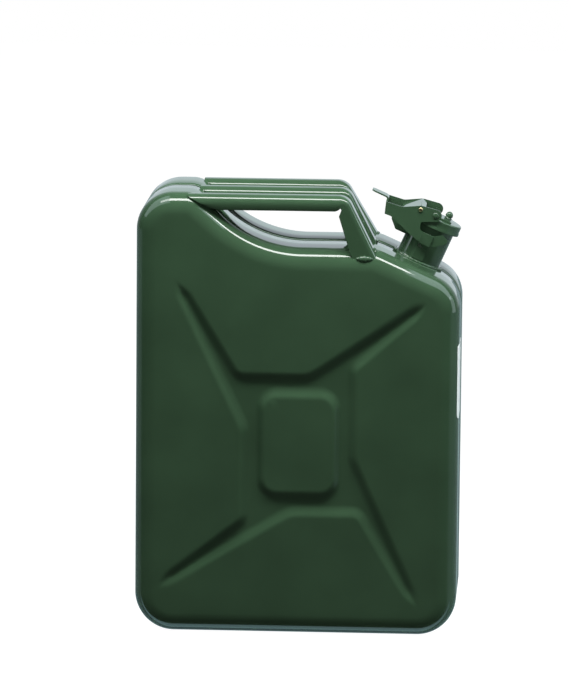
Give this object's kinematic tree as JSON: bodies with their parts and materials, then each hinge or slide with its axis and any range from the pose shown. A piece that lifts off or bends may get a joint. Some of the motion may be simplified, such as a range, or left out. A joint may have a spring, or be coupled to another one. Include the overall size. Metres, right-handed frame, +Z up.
{
  "type": "metal jerry can",
  "caption": "Upright pressed-steel fuel can with a cross-embossed panel, parallel carrying handles and a tilted filler neck closed by a hinged cap with a cam lever and locking pin.",
  "frame": {"origin": "middle of the base, on the ground", "axes": "+Z up along the can's height, +X to the spout side, +Y from the front shell to the rear shell"},
  "size_m": [0.345, 0.165, 0.475],
  "materials": {
    "enamel": "glossy dark green enamel",
    "rubber": "matt black fuel-proof rubber",
    "zinc": "plain zinc-plated steel",
    "brass": "plain worn brass"
  },
  "bodies": {
    "can": {"front_shell": "enamel", "rear_shell": "enamel", "front_handle": "enamel", "middle_handle": "enamel", "rear_handle": "enamel", "breather_tube": "enamel", "neck_tube": "enamel", "neck_collar": "enamel", "front_keeper_strap": "enamel", "rear_keeper_strap": "enamel", "hinge_bracket": "enamel", "hinge_pin": "zinc"},
    "cap": {"cap": "enamel", "cap_seal": "rubber", "cap_bracket": "enamel", "cap_stud": "enamel", "cap_hinge_arm": "enamel", "front_lever_rivet": "enamel", "rear_lever_rivet": "enamel"},
    "lever": {"lever": "enamel"},
    "pin": {"locking_pin": "brass"}
  },
  "joints": [
    {"name": "cap_hinge", "type": "hinge", "parent": "can", "child": "cap", "pos_m": [0.10477, 0, 0.44649], "axis": [0, -1, 0], "range_deg": [0, 90]},
    {"name": "lever_swing", "type": "hinge", "parent": "cap", "child": "lever", "pos_m": [0.1446, 0, 0.44868], "axis": [0, 1, 0], "range_deg": [0, 100]},
    {"name": "pin_slide", "type": "slide", "parent": "lever", "child": "pin", "axis": [0, -1, 0], "range_m": [0, 0.07]}
  ],
  "couplings": [
    {"joint": "lever_swing", "follows": "cap_hinge", "ratio": 1.1}
  ]
}
